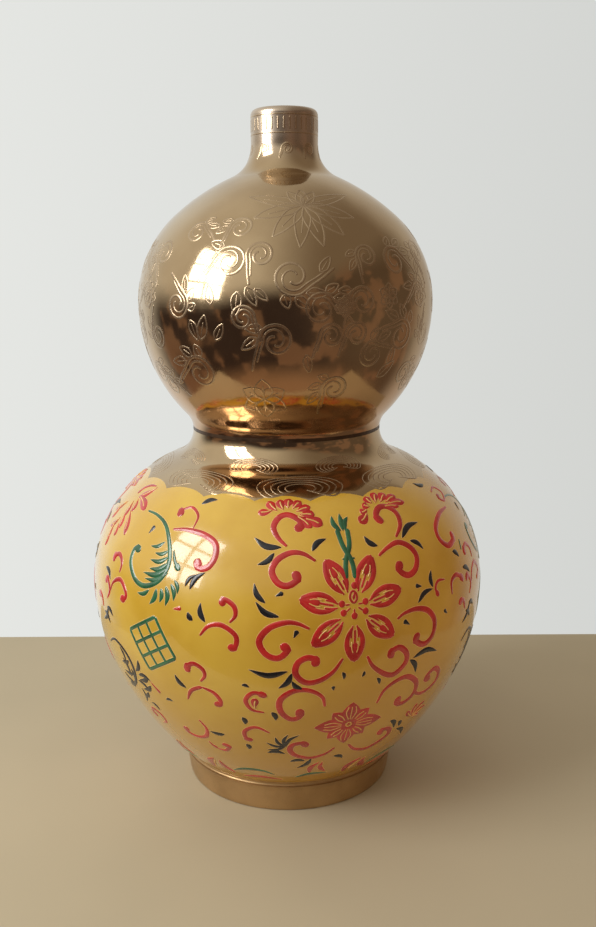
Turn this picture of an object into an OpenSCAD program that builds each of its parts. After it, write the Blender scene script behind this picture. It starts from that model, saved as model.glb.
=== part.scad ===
// Double-gourd vase: a thrown and luted ceramic vessel on a turned foot.
// Units are millimetres, +Z is up, and the origin is the centre of the foot's resting ring.
// The outline is a chain of tangent arcs. Every wall is that outline and a copy of it moved inwards.

/* [Foot] */
// Diameter of the foot where it stands
foot_d = 109.4; // [98:0.2:118]
// Diameter of the foot at its top
foot_top_d = 114; // [106:0.2:116.4]
// Height of the foot ring
foot_h = 18; // [12:0.5:26]
// Width of the foot ring where it stands
foot_wall = 9; // [6:0.5:12]
// Bevel on the two edges of the resting ring
foot_bevel = 1.6; // [0.5:0.1:2.5]
// Radius of the turned groove under the lower bulb
groove_r = 1.2; // [0.6:0.1:2]

/* [Lower bulb] */
// Widest diameter of the lower bulb
lower_d = 203.4; // [190:0.2:250]
// Diameter of the lower bulb where it meets the foot
lower_base_d = 116.6; // [114.2:0.2:135]
// Height from the top of the foot to the widest line
lower_belly_h = 93; // [70:0.5:120]
// Radius of the curve just below the widest line
lower_belly_r = 104; // [70:1:150]
// Sweep of that curve in degrees
lower_belly_sweep = 22; // [8:1:30]
// Height from the widest line up to the waist
lower_shoulder_h = 77.5; // [60:0.5:100]

/* [Waist] */
// Diameter of the waist
waist_d = 96.4; // [76:0.2:120]
// Radius of the hollow curve below the waist
waist_lower_r = 14.6; // [8:0.2:22]
// Radius of the hollow curve above the waist
waist_upper_r = 12; // [8:0.2:22]

/* [Upper bulb] */
// Widest diameter of the upper bulb
upper_d = 147.8; // [132:0.2:180]
// Height from the waist up to the widest line
upper_belly_h = 63.5; // [50:0.5:80]
// Height from the widest line up to the neck
upper_dome_h = 76; // [62:0.5:95]
// Roundness of the dome just above the widest line, where 1 is that of an oval
dome_round = 0.73; // [0.6:0.01:0.85]
// Sweep of that curve in degrees
dome_sweep = 48; // [30:1:50]
// Radius of the hollow curve at the root of the neck
neck_root_r = 16.4; // [8:0.2:24]

/* [Neck] */
// Outer diameter of the neck
neck_d = 33; // [28:0.2:40]
// Length of the straight neck up to the lip
neck_len = 17; // [8:0.5:40]
// Radius of the rounded lip, outside
lip_r = 3; // [1:0.1:3.5]
// Radius of the rounded lip, inside
lip_inner_r = 1.6; // [0.5:0.1:1.9]

/* [Walls and joints] */
// Thickness of the wall of the bulbs and the neck
wall = 5; // [3.5:0.1:7]
// Thickness of the floor
floor_t = 8; // [5:0.5:12]
// Slope of the luted joints across the wall in degrees
lute_slope = 26; // [0:1:35]
// Half width of a smoothed slip seam along the wall
slip_half_w = 6; // [4:0.2:8]
// Height of a smoothed slip seam above the wall
slip_proud = 1.4; // [0.6:0.1:1.8]
// Radius of the slip cove inside the foot ring
foot_cove_r = 4; // [2:0.5:6]
// Thickness of that cove at its edges
cove_edge = 0.4; // [0.2:0.1:0.8]

/* [Hidden] */
$fn = 180;

// Heights of the outline's named lines
lower_belly_z = foot_h + lower_belly_h;
waist_z = lower_belly_z + lower_shoulder_h;
upper_belly_z = waist_z + upper_belly_h;
neck_z = upper_belly_z + upper_dome_h;
vase_h = neck_z + neck_len;
reach = 2 * (vase_h + lower_d);

// Unit vector that leaves the outline at an angle above level
function normal_at(angle) = [cos(angle), sin(angle)];
// An arc is [centre, radius, low angle, high angle], with a radius below zero where the outline is hollow
function arc_end(arc, angle, inward = 0) = arc[0] + (arc[1] - inward) * normal_at(angle);
// Radius of the arc that leaves a point with a known normal and passes through a second point
function radius_through(from, angle, to) =
    let (gap = from - to) (gap * gap) / (2 * (normal_at(angle) * gap));
// Radius of the arc that leaves a point with a known normal and touches a hollow arc
function radius_touching(from, angle, hollow_centre, hollow_r) =
    let (gap = from - hollow_centre)
    (gap * gap - hollow_r * hollow_r) / (2 * (hollow_r + normal_at(angle) * gap));
// Angle at which an arc meets the hollow arc that it touches
function meeting_angle(centre, hollow_centre) =
    let (gap = hollow_centre - centre) atan2(gap[1], gap[0]);

// Lower bulb from the foot up to its widest line
belly_arc = [[lower_d / 2 - lower_belly_r, lower_belly_z], lower_belly_r, -lower_belly_sweep, 0];
belly_start = arc_end(belly_arc, -lower_belly_sweep);
base_point = [lower_base_d / 2, foot_h];
base_r = radius_through(belly_start, -lower_belly_sweep, base_point);
base_centre = belly_start - base_r * normal_at(-lower_belly_sweep);
base_angle = atan2(base_point[1] - base_centre[1], base_point[0] - base_centre[0]);
base_arc = [base_centre, base_r, base_angle, -lower_belly_sweep];

// Lower bulb from its widest line up to the waist
lower_widest = [lower_d / 2, lower_belly_z];
waist_lower_centre = [waist_d / 2 + waist_lower_r, waist_z];
shoulder_r = radius_touching(lower_widest, 0, waist_lower_centre, waist_lower_r);
shoulder_centre = lower_widest - [shoulder_r, 0];
shoulder_angle = meeting_angle(shoulder_centre, waist_lower_centre);
shoulder_arc = [shoulder_centre, shoulder_r, 0, shoulder_angle];
waist_lower_arc = [waist_lower_centre, -waist_lower_r, shoulder_angle, 0];

// Upper bulb from the waist up to its widest line
upper_widest = [upper_d / 2, upper_belly_z];
waist_upper_centre = [waist_d / 2 + waist_upper_r, waist_z];
upper_belly_r = radius_touching(upper_widest, 0, waist_upper_centre, waist_upper_r);
upper_belly_centre = upper_widest - [upper_belly_r, 0];
upper_belly_angle = meeting_angle(upper_belly_centre, waist_upper_centre);
waist_upper_arc = [waist_upper_centre, -waist_upper_r, 0, upper_belly_angle];
upper_belly_arc = [upper_belly_centre, upper_belly_r, upper_belly_angle, 0];

// Upper bulb from its widest line up to the neck
dome_r = dome_round * upper_dome_h * upper_dome_h / (upper_d / 2);
dome_arc = [upper_widest - [dome_r, 0], dome_r, 0, dome_sweep];
dome_end = arc_end(dome_arc, dome_sweep);
neck_root_centre = [neck_d / 2 + neck_root_r, neck_z];
crown_r = radius_touching(dome_end, dome_sweep, neck_root_centre, neck_root_r);
crown_centre = dome_end - crown_r * normal_at(dome_sweep);
crown_angle = meeting_angle(crown_centre, neck_root_centre);
crown_arc = [crown_centre, crown_r, dome_sweep, crown_angle];
neck_root_arc = [neck_root_centre, -neck_root_r, crown_angle, 0];

OUTLINE = [base_arc, belly_arc, shoulder_arc, waist_lower_arc, waist_upper_arc, upper_belly_arc,
    dome_arc, crown_arc, neck_root_arc];

// The inside starts where the lower bulb's inner curve meets the floor
floor_z = foot_h + floor_t;
floor_angle = asin((floor_z - base_centre[1]) / (base_r - wall));
INSIDE = concat([[base_centre, base_r, floor_angle, -lower_belly_sweep]], [for (i = [1:8]) OUTLINE[i]]);

// A rounded edge of the lip stays inside its wall
mouth_r = neck_d / 2 - wall;
lip_outer = min(lip_r, 0.62 * wall);
lip_inner = min(lip_inner_r, 0.34 * wall);
lip_arc = [[neck_d / 2 - lip_outer, vase_h - lip_outer], lip_outer, 0, 90];
lip_inner_arc = [[mouth_r + lip_inner, vase_h - lip_inner], lip_inner, 90, 180];
foot_bore_r = foot_d / 2 - foot_wall;

// Longest chord and widest step of a drawn arc
chord = 4;
step = 6;

// Luted joints, each a point on the outline and the slope of the cut across the wall
lower_joint = [lower_widest, -lute_slope];
waist_joint = [[waist_d / 2, waist_z], -lute_slope];
upper_joint = [upper_widest, -lute_slope];
neck_joint = [arc_end(crown_arc, crown_angle), crown_angle];

// Points along an arc moved inwards, without its first point
function arc_points(arc, inward) =
    let (
        sweep = arc[3] - arc[2],
        length = abs(sweep * (arc[1] - inward)) * PI / 180,
        steps = ceil(max(abs(sweep) / step, length / chord))
    )
    [for (i = [1:steps]) arc_end(arc, arc[2] + sweep * i / steps, inward)];
// Points along a chain of tangent arcs moved inwards
function chain_points(chain, inward) =
    concat([arc_end(chain[0], chain[0][2], inward)], [for (arc = chain) each arc_points(arc, inward)]);
function reversed(points) = [for (i = [len(points) - 1:-1:0]) points[i]];

// Section through the whole wall, from the floor to the lip
module wall_section() {
    polygon(concat(
        [[0, foot_h]],
        chain_points(OUTLINE, 0),
        chain_points([lip_arc], 0),
        chain_points([lip_inner_arc], 0),
        reversed(chain_points(INSIDE, wall)),
        [[0, floor_z]]
    ));
}

// Area of the hollow inside, with its outline moved inwards
module hollow_area(inward = 0) {
    polygon(concat([[0, floor_z]], chain_points(INSIDE, wall + inward), [[mouth_r - inward, vase_h], [0, vase_h]]));
}

// Everything on the upper side of a joint's cut
module above(joint) {
    translate(joint[0]) rotate(joint[1]) translate([-reach, 0]) square(2 * reach);
}

// Slip smoothed over a joint inside the vase, thinning out along the wall on both sides
module slip_seam(joint, wall_angle) {
    on_wall = joint[0] - wall * normal_at(wall_angle);
    rotate_extrude()
        intersection() {
            difference() {
                hollow_area();
                hollow_area(slip_proud);
            }
            translate(on_wall) rotate(wall_angle)
                polygon([
                    [-slip_half_w / 2, 0],
                    [0, -slip_half_w],
                    [slip_half_w, -slip_half_w],
                    [slip_half_w, slip_half_w],
                    [0, slip_half_w]
                ]);
        }
}

// Turned foot with a bevelled resting ring and a groove under the bulb
module foot_ring() {
    color("peru")
        rotate_extrude()
            difference() {
                polygon([
                    [foot_bore_r, foot_bevel],
                    [foot_bore_r + foot_bevel, 0],
                    [foot_d / 2 - foot_bevel, 0],
                    [foot_d / 2, foot_bevel],
                    [foot_top_d / 2, foot_h],
                    [foot_bore_r, foot_h]
                ]);
                translate([foot_top_d / 2, foot_h - 2 * groove_r]) circle(r = groove_r);
            }
}

// Cove of slip between the foot ring and the underside of the floor
module foot_slip_seam() {
    side = foot_cove_r + cove_edge;
    color("linen")
        rotate_extrude()
            difference() {
                translate([foot_bore_r - side, foot_h - side]) square(side);
                translate([foot_bore_r - side, foot_h - side]) circle(r = foot_cove_r);
            }
}

// Lower half of the lower bulb, thrown with its floor
module lower_bulb_bowl() {
    color("goldenrod")
        rotate_extrude()
            difference() {
                wall_section();
                above(lower_joint);
            }
}

// Slip smoothed over the joint at the lower bulb's widest line
module lower_bulb_slip_seam() {
    color("linen") slip_seam(lower_joint, 0);
}

// Upper half of the lower bulb, closing in to the waist
module lower_bulb_shoulder() {
    color("orange")
        rotate_extrude()
            difference() {
                intersection() {
                    wall_section();
                    above(lower_joint);
                }
                above(waist_joint);
            }
}

// Slip smoothed over the joint at the waist
module waist_slip_seam() {
    color("linen") slip_seam(waist_joint, 0);
}

// Lower half of the upper bulb, opening out from the waist
module upper_bulb_bowl() {
    color("darkgoldenrod")
        rotate_extrude()
            difference() {
                intersection() {
                    wall_section();
                    above(waist_joint);
                }
                above(upper_joint);
            }
}

// Slip smoothed over the joint at the upper bulb's widest line
module upper_bulb_slip_seam() {
    color("linen") slip_seam(upper_joint, 0);
}

// Dome of the upper bulb, closing in to the neck
module upper_bulb_dome() {
    color("tan")
        rotate_extrude()
            difference() {
                intersection() {
                    wall_section();
                    above(upper_joint);
                }
                above(neck_joint);
            }
}

// Slip smoothed over the joint at the root of the neck
module neck_slip_seam() {
    color("linen") slip_seam(neck_joint, crown_angle);
}

// Trumpet-rooted neck with a rounded lip
module neck() {
    color("rosybrown")
        rotate_extrude()
            intersection() {
                wall_section();
                above(neck_joint);
            }
}

foot_ring();
foot_slip_seam();
lower_bulb_bowl();
lower_bulb_slip_seam();
lower_bulb_shoulder();
waist_slip_seam();
upper_bulb_bowl();
upper_bulb_slip_seam();
upper_bulb_dome();
neck_slip_seam();
neck();
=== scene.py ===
"""Looks of the double-gourd vase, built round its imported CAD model.

Everything is in metres in the CAD frame: +Z up the vase's axis, -Y towards the viewer, and the
origin at the centre of the foot's resting ring. A place on the outer wall is given as a turn in
degrees, with 0 towards the viewer and positive to the viewer's right, and as a run in
millimetres along the wall from the edge that the foot stands on.
"""

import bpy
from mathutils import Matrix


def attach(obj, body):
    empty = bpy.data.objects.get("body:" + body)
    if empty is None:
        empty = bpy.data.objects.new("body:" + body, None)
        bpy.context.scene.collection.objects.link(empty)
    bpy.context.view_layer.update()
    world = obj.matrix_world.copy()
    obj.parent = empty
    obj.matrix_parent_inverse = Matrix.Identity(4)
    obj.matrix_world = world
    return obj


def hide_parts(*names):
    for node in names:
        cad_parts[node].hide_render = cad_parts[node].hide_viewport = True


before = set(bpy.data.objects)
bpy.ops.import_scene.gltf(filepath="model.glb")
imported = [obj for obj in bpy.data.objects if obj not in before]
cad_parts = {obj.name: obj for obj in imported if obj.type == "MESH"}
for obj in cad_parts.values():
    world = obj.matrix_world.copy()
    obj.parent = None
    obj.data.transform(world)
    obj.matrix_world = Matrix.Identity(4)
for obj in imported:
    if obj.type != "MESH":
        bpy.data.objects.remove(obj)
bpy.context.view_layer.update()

import logging
import math
from dataclasses import dataclass, field, replace
from enum import Enum
from typing import Any, Callable, Sequence

import bpy
import numpy as np
from mathutils import Euler, Quaternion, Vector

log = logging.getLogger("gourd_vase")

MM = 0.001
ROUND_STEPS = 192
EDGE_ROW_MM = 0.05
MERGE_M = 1e-6
FULL_TURN = 360.0
THIRD = FULL_TURN / 3
Colour = tuple[float, float, float]
Point = tuple[float, float, float]
Pair = tuple[float, float]
Place = Pair
Row = Sequence[float]
Rows = Sequence[Row]


@dataclass(frozen=True)
class Arc:
    """One arc of the outline in the plane of radius and height, in millimetres and degrees."""

    centre: Place
    radius: float
    low: float
    high: float

    @property
    def length(self) -> float:
        """Length of the arc along the outer wall."""
        return abs(math.radians(self.high - self.low) * self.radius)

    def place(self, run: np.ndarray, inward: float = 0.0) -> np.ndarray:
        """Points on the arc or on its copy moved inwards.

        Args:
            run: Distances along the outer arc from its low end.
            inward: How far inside the outer wall the points lie.

        Returns:
            One row per distance: radius, height, and the outward normal's two parts.
        """
        angle = np.radians(self.low + (self.high - self.low) * run / self.length)
        across, up = np.cos(angle), np.sin(angle)
        reach = self.radius - inward
        x, z = self.centre
        return np.stack([x + reach * across, z + reach * up, across, up], -1)


@dataclass(frozen=True)
class Upright:
    """The straight neck, in the same terms as an arc."""

    radius: float
    foot: float
    length: float

    def place(self, run: np.ndarray, inward: float = 0.0) -> np.ndarray:
        """Points on the straight wall, as Arc.place gives them."""
        ones = np.ones_like(run)
        return np.stack([(self.radius - inward) * ones, self.foot + run, ones, 0 * ones], -1)


def heading(angle: float) -> np.ndarray:
    """Unit vector at an angle above level, in degrees."""
    return np.array([math.cos(math.radians(angle)), math.sin(math.radians(angle))])


@dataclass
class Outline:
    """The vase's outer wall as a chain of tangent arcs, with the sizes of its CAD model."""

    foot_h: float = 18.0
    foot_run: float = 19.4
    lower_r: float = 101.7
    base_r: float = 58.3
    belly_z: float = 111.0
    belly_r: float = 104.0
    belly_sweep: float = 22.0
    waist_z: float = 188.5
    waist_r: float = 48.2
    waist_lower_r: float = 14.6
    waist_upper_r: float = 12.0
    upper_r: float = 73.9
    upper_z: float = 252.0
    dome_round: float = 0.73
    dome_sweep: float = 48.0
    neck_r: float = 16.5
    neck_root_r: float = 16.4
    neck_z: float = 328.0
    neck_straight: float = 14.0
    wall: float = 5.0
    parts: list = field(default_factory=list)
    starts: list = field(default_factory=list)

    def __post_init__(self) -> None:
        """Works out the arcs from the sizes."""
        lower = np.array([self.lower_r, self.belly_z])
        upper = np.array([self.upper_r, self.upper_z])
        sweep = -self.belly_sweep
        belly = lower - [self.belly_r, 0]
        start, base = belly + self.belly_r * heading(sweep), np.array([self.base_r, self.foot_h])
        gap = start - base
        radius = gap @ gap / (2 * heading(sweep) @ gap)
        centre = start - radius * heading(sweep)
        chain = [
            Arc(tuple(centre), radius, self.angle_to(centre, base), sweep),
            Arc(tuple(belly), self.belly_r, sweep, 0),
        ]
        throat = self.waist_r, self.waist_lower_r, self.waist_z
        centre, radius, meet, hollow = self.touching(lower, 0, *throat)
        chain += [Arc(centre, radius, 0, meet), Arc(hollow, -self.waist_lower_r, meet, 0)]
        throat = self.waist_r, self.waist_upper_r, self.waist_z
        centre, radius, meet, hollow = self.touching(upper, 0, *throat)
        chain += [Arc(hollow, -self.waist_upper_r, 0, meet), Arc(centre, radius, meet, 0)]
        dome_r = self.dome_round * (self.neck_z - self.upper_z) ** 2 / self.upper_r
        dome = upper - [dome_r, 0]
        throat = self.neck_r, self.neck_root_r, self.neck_z
        end, sweep = dome + dome_r * heading(self.dome_sweep), self.dome_sweep
        centre, radius, meet, hollow = self.touching(end, sweep, *throat)
        chain += [
            Arc(tuple(dome), dome_r, 0, sweep),
            Arc(centre, radius, sweep, meet),
            Arc(hollow, -self.neck_root_r, meet, 0),
            Upright(self.neck_r, self.neck_z, self.neck_straight),
        ]
        self.parts = chain
        lengths = [part.length for part in chain]
        self.starts = [self.foot_run + sum(lengths[:i]) for i in range(len(chain) + 1)]

    @staticmethod
    def angle_to(centre: np.ndarray, point: np.ndarray) -> float:
        """Angle above level from a centre to a point, in degrees."""
        return math.degrees(math.atan2(point[1] - centre[1], point[0] - centre[0]))

    def touching(
        self, start: np.ndarray, angle: float, throat: float, hollow_r: float, height: float
    ) -> tuple[Place, float, float, Place]:
        """The arc that leaves a point with a known normal and touches a hollow arc.

        Args:
            start: The point, as radius and height.
            angle: Angle of the normal there, in degrees.
            throat: Smallest radius of the hollow arc from the vase's axis.
            hollow_r: Radius of the hollow arc itself.
            height: Height of the hollow arc's centre.

        Returns:
            The arc's centre and radius, the angle at which they meet, and the hollow's centre.
        """
        hollow = np.array([throat + hollow_r, height])
        gap = start - hollow
        radius = (gap @ gap - hollow_r**2) / (2 * (hollow_r + heading(angle) @ gap))
        centre = start - radius * heading(angle)
        return tuple(centre), radius, self.angle_to(centre, hollow), tuple(hollow)

    def part_at(self, run: Any) -> Any:
        """Number of the part of the chain at a run, or at each of several."""
        return np.clip(np.searchsorted(self.starts, run, side="right") - 1, 0, len(self.parts) - 1)

    def at(self, run: np.ndarray, inward: float = 0.0) -> np.ndarray:
        """Points of the outline.

        Args:
            run: Distances along the outer wall, in millimetres.
            inward: How far inside the outer wall the points lie.

        Returns:
            One row per distance: radius, height, and the outward normal's two parts.
        """
        run = np.asarray(run, float)
        index = self.part_at(run)
        found = np.zeros(run.shape + (4,))
        for i, part in enumerate(self.parts):
            here = index == i
            found[here] = part.place(run[here] - self.starts[i], inward)
        return found

    def radius_at(self, run: float) -> float:
        """Radius of the outer wall at one run, in millimetres."""
        return float(self.at(np.array([run]))[0, 0])

    def line(
        self, start: float, end: float, inward: float = 0.0, pitch: float = 1.5
    ) -> list[Place]:
        """Points of the outline from one run to another, with a narrow last row at both ends.

        Args:
            start: Run of the first point.
            end: Run of the last point.
            inward: How far inside the outer wall the points lie.
            pitch: Distance between two points.

        Returns:
            Radius and height of each point.
        """
        edge = math.copysign(EDGE_ROW_MM, end - start)
        count = max(2, round(abs(end - start) / pitch))
        inner = np.linspace(start + edge, end - edge, count)
        rows = self.at(np.concatenate([[start], inner, [end]]), inward)
        return [(row[0], row[1]) for row in rows]

    def wrap(self, turn: np.ndarray, run: np.ndarray, height: np.ndarray) -> np.ndarray:
        """Points on or over the outer wall.

        Args:
            turn: Angles round the vase, in degrees.
            run: Distances along the wall, in millimetres.
            height: Distances outside the wall, in millimetres.

        Returns:
            The points in metres.
        """
        rows = self.at(run)
        radius = rows[..., 0] + height * rows[..., 2]
        level = rows[..., 1] + height * rows[..., 3]
        angle = np.radians(turn)
        return np.stack([radius * np.sin(angle), -radius * np.cos(angle), level], -1) * MM


WALL = Outline()
RUN_BASE, RUN_BELLY, RUN_WAIST, RUN_UPPER, RUN_CROWN = WALL.starts[:9:2]
RUN_RIM = WALL.starts[-1]


class Value:
    """A number that flows between shader nodes, with the operators of plain arithmetic."""

    def __init__(self, recipe: "Recipe", socket: Any) -> None:
        """Wraps one output socket of a recipe."""
        self.recipe = recipe
        self.socket = socket

    def _math(self, operation: str, first: Any, second: Any) -> "Value":
        """Adds one Math node."""
        node = self.recipe.node("Math", {"operation": operation}, {0: first, 1: second})
        return Value(self.recipe, node.outputs[0])

    def __add__(self, other: Any) -> "Value":
        """Sum of the two."""
        return self._math("ADD", self, other)

    def __sub__(self, other: Any) -> "Value":
        """This less the other."""
        return self._math("SUBTRACT", self, other)

    def __rsub__(self, other: Any) -> "Value":
        """The other less this."""
        return self._math("SUBTRACT", other, self)

    def __mul__(self, other: Any) -> "Value":
        """Product of the two."""
        return self._math("MULTIPLY", self, other)

    __radd__ = __add__
    __rmul__ = __mul__

    def step(self, low: float, high: float) -> "Value":
        """Rises smoothly from 0 at low to 1 at high."""
        settings = {"interpolation_type": "SMOOTHSTEP", "clamp": True}
        sockets = {"Value": self, "From Min": low, "From Max": high}
        return Value(self.recipe, self.recipe.node("MapRange", settings, sockets).outputs[0])


class Recipe:
    """The node tree of one finish."""

    def __init__(self, owner: Any) -> None:
        """Starts an empty tree on a material or a world."""
        owner.use_nodes = True
        self.tree = owner.node_tree
        self.tree.nodes.clear()

    def node(
        self, kind: str, settings: dict[str, Any] | None = None, sockets: dict | None = None
    ) -> bpy.types.Node:
        """Adds a node.

        Args:
            kind: Blender's name of the node type, without ShaderNode in front.
            settings: Properties of the node, set first.
            sockets: Values or links, by the input's name or number.

        Returns:
            The node.
        """
        made = self.tree.nodes.new("ShaderNode" + kind)
        for name, value in (settings or {}).items():
            setattr(made, name, value)
        for key, value in (sockets or {}).items():
            if isinstance(value, Value):
                value = value.socket
            if isinstance(value, bpy.types.NodeSocket):
                self.tree.links.new(value, made.inputs[key])
            else:
                made.inputs[key].default_value = value
        return made

    def split(self, place: str) -> list[Value]:
        """X, y and z of one output of the Texture Coordinate node."""
        parts = self.node("SeparateXYZ", None, {0: self.node("TexCoord").outputs[place]})
        return [Value(self, output) for output in parts.outputs]

    def noise(
        self,
        scale: float,
        stretch: Point = (1, 1, 1),
        detail: float = 3.0,
        rough: float = 0.5,
        place: str = "Object",
    ) -> Value:
        """Soft noise on the piece's own coordinates.

        Args:
            scale: Features per metre.
            stretch: How much faster it changes along x, y and z.
            detail: Number of finer layers.
            rough: Share of the finer layers.
            place: Output of the Texture Coordinate node to read.

        Returns:
            The noise, about 0.3 to 0.7.
        """
        vector = self.node("TexCoord").outputs[place]
        mapped = self.node("Mapping", None, {"Vector": vector, "Scale": stretch}).outputs[0]
        sockets = {"Vector": mapped, "Scale": scale, "Detail": detail, "Roughness": rough}
        return Value(self, self.node("TexNoise", None, sockets).outputs["Fac"])

    def blend(self, factor: Any, first: Any, second: Any) -> Any:
        """Mixes two colours, each a link or three numbers, and returns the result's socket."""
        ends = [(*end, 1) if isinstance(end, (tuple, list)) else end for end in (first, second)]
        sockets = {0: factor, 6: ends[0], 7: ends[1]}
        return self.node("Mix", {"data_type": "RGBA"}, sockets).outputs[2]

    def finish(self, kind: str, sockets: dict, output: str = "OutputMaterial") -> None:
        """Adds the shader and links it to the output."""
        shader = self.node(kind, None, sockets)
        self.node(output, None, {0: shader.outputs[0]})


@dataclass(frozen=True)
class Glaze:
    """A fired finish: its colours, its gloss and the fine texture of its surface.

    It turns to the shifted colour and gloss over the heights given in shift, in metres.
    """

    name: str
    thin: Colour
    thick: Colour
    gloss: Pair
    patch_mm: float = 40.0
    metallic: float = 0.0
    coat: float = 0.0
    specks: float = 0.0
    peel: float = 0.05
    peel_mm: float = 3.0
    turning: float = 0.0
    shift: Pair | None = None
    shifted: Colour = (0.0, 0.0, 0.0)
    shifted_gloss: float = 0.0

    PATCH_EDGES = (0.36, 0.64)
    FINE_SCALE = 1400.0
    SPECK_EDGES = (0.66, 0.74)
    SPECK_SHADE = 0.35
    HAZE_SCALE = 4.2
    HAZE_EDGES = (0.35, 0.7)
    FINE_RELIEF = 0.12
    RING_SCALE = 260.0
    RING_STRETCH = (0.04, 0.04, 2.6)
    RELIEF_M = 0.0006
    COAT_GLOSS = 0.05

    def make(self) -> bpy.types.Material:
        """Makes the material, with its nodes."""
        material = bpy.data.materials.new(f"{self.name}_finish")
        recipe = Recipe(material)
        patch_scale = 1 / (self.patch_mm * MM)
        patches = recipe.noise(patch_scale, detail=4.0).step(*self.PATCH_EDGES)
        colour = recipe.blend(patches, self.thin, self.thick)
        fine = recipe.noise(self.FINE_SCALE, detail=2.0)
        if self.specks:
            spots = fine.step(*self.SPECK_EDGES) * self.specks
            colour = recipe.blend(spots, colour, [self.SPECK_SHADE * c for c in self.thick])
        haze = recipe.noise(self.HAZE_SCALE * patch_scale, detail=5.0, rough=0.6)
        haze = haze.step(*self.HAZE_EDGES)
        gloss = haze * (self.gloss[1] - self.gloss[0]) + self.gloss[0]
        # On the yellow enamel this blend is painted shade: darker and more orange towards the foot.
        if self.shift:
            share = recipe.split("Object")[2].step(*self.shift)
            gloss = gloss + self.shifted_gloss * share
            colour = recipe.blend(share, colour, self.shifted)
        relief = recipe.noise(1 / (self.peel_mm * MM), detail=2.0) + self.FINE_RELIEF * fine
        if self.turning:
            rings = recipe.noise(self.RING_SCALE, stretch=self.RING_STRETCH, detail=3.0)
            relief = relief + self.turning * rings
        bump = {"Strength": self.peel, "Distance": self.RELIEF_M, "Height": relief}
        sockets = {
            "Base Color": colour,
            "Roughness": gloss,
            "Metallic": self.metallic,
            "Coat Weight": self.coat,
            "Coat Roughness": self.COAT_GLOSS,
            "Normal": recipe.node("Bump", None, bump).outputs[0],
        }
        recipe.finish("BsdfPrincipled", sockets)
        return material


class Finish(Enum):
    """The finishes on the vase."""

    # Its shift is painted shade: the enamel turns darker and more orange towards the foot, above
    # the table.
    YELLOW = Glaze(
        "yellow_enamel", (0.745, 0.485, 0.062), (0.655, 0.395, 0.038), (0.16, 0.26),
        coat=1.0, peel=0.06, shift=(0.095, 0.025), shifted=(0.58, 0.32, 0.035),
    )
    GILT = Glaze(
        "mirror_gilt", (0.58, 0.44, 0.275), (0.50, 0.37, 0.225), (0.06, 0.13),
        metallic=1.0, peel=0.045, peel_mm=6.0,
        shift=(0.316, 0.334), shifted=(0.60, 0.50, 0.40), shifted_gloss=0.2,
    )
    WARM_GILT = replace(
        GILT, name="warm_gilt", shift=(0.248, 0.2), shifted=(0.58, 0.37, 0.21), shifted_gloss=0.03
    )
    MATT_GILT = Glaze(
        "matt_gilt", (0.56, 0.43, 0.285), (0.47, 0.35, 0.225), (0.22, 0.32), 9.0,
        metallic=0.95, peel=0.1, peel_mm=1.5,
    )
    # Painted dark reflection for the ring along the waist crease, not a colour of the gilding.
    CREASE = Glaze(
        "painted_crease_shade", (0.10, 0.06, 0.035), (0.06, 0.035, 0.02), (0.3, 0.5), 9.0, metallic=0.6
    )
    COPPER = Glaze(
        "foot_gilt", (0.52, 0.34, 0.165), (0.41, 0.26, 0.12), (0.32, 0.45), 25.0,
        metallic=0.7, specks=0.5, turning=0.8, peel=0.12,
    )
    RED = Glaze(
        "red_enamel", (0.62, 0.03, 0.028), (0.45, 0.018, 0.018), (0.2, 0.3), 9.0,
        coat=0.8, peel=0.08,
    )
    GREEN = replace(
        RED, name="green_enamel", thin=(0.028, 0.16, 0.07), thick=(0.012, 0.10, 0.042)
    )
    BLACK = Glaze(
        "black_enamel", (0.016, 0.018, 0.024), (0.008, 0.009, 0.012), (0.25, 0.35), 9.0,
        coat=0.4, peel=0.08,
    )
    PALE = Glaze(
        "pale_line", (0.86, 0.57, 0.20), (0.80, 0.50, 0.15), (0.3, 0.4), 12.0,
        coat=0.2, peel=0.08,
    )
    SLIP = Glaze(
        "slip", (0.78, 0.74, 0.66), (0.70, 0.66, 0.57), (0.6, 0.75),
        specks=0.3, peel=0.2, turning=0.4,
    )
    INSIDE = Glaze(
        "inside_glaze", (0.74, 0.72, 0.66), (0.66, 0.63, 0.56), (0.25, 0.4), specks=0.2, peel=0.1
    )

    @property
    def material(self) -> bpy.types.Material:
        """The finish's material, made when it is first asked for."""
        return bpy.data.materials.get(f"{self.value.name}_finish") or self.value.make()


def deselect() -> None:
    """Leaves nothing selected."""
    if bpy.context.object and bpy.context.object.mode != "OBJECT":
        bpy.ops.object.mode_set(mode="OBJECT")
    bpy.ops.object.select_all(action="DESELECT")


def close_up() -> None:
    """Merges the doubles of the mesh in edit mode, turns its faces out and leaves edit mode."""
    bpy.ops.mesh.select_all(action="SELECT")
    bpy.ops.mesh.remove_doubles(threshold=MERGE_M)
    bpy.ops.mesh.normals_make_consistent(inside=False)
    bpy.ops.object.mode_set(mode="OBJECT")


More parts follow.
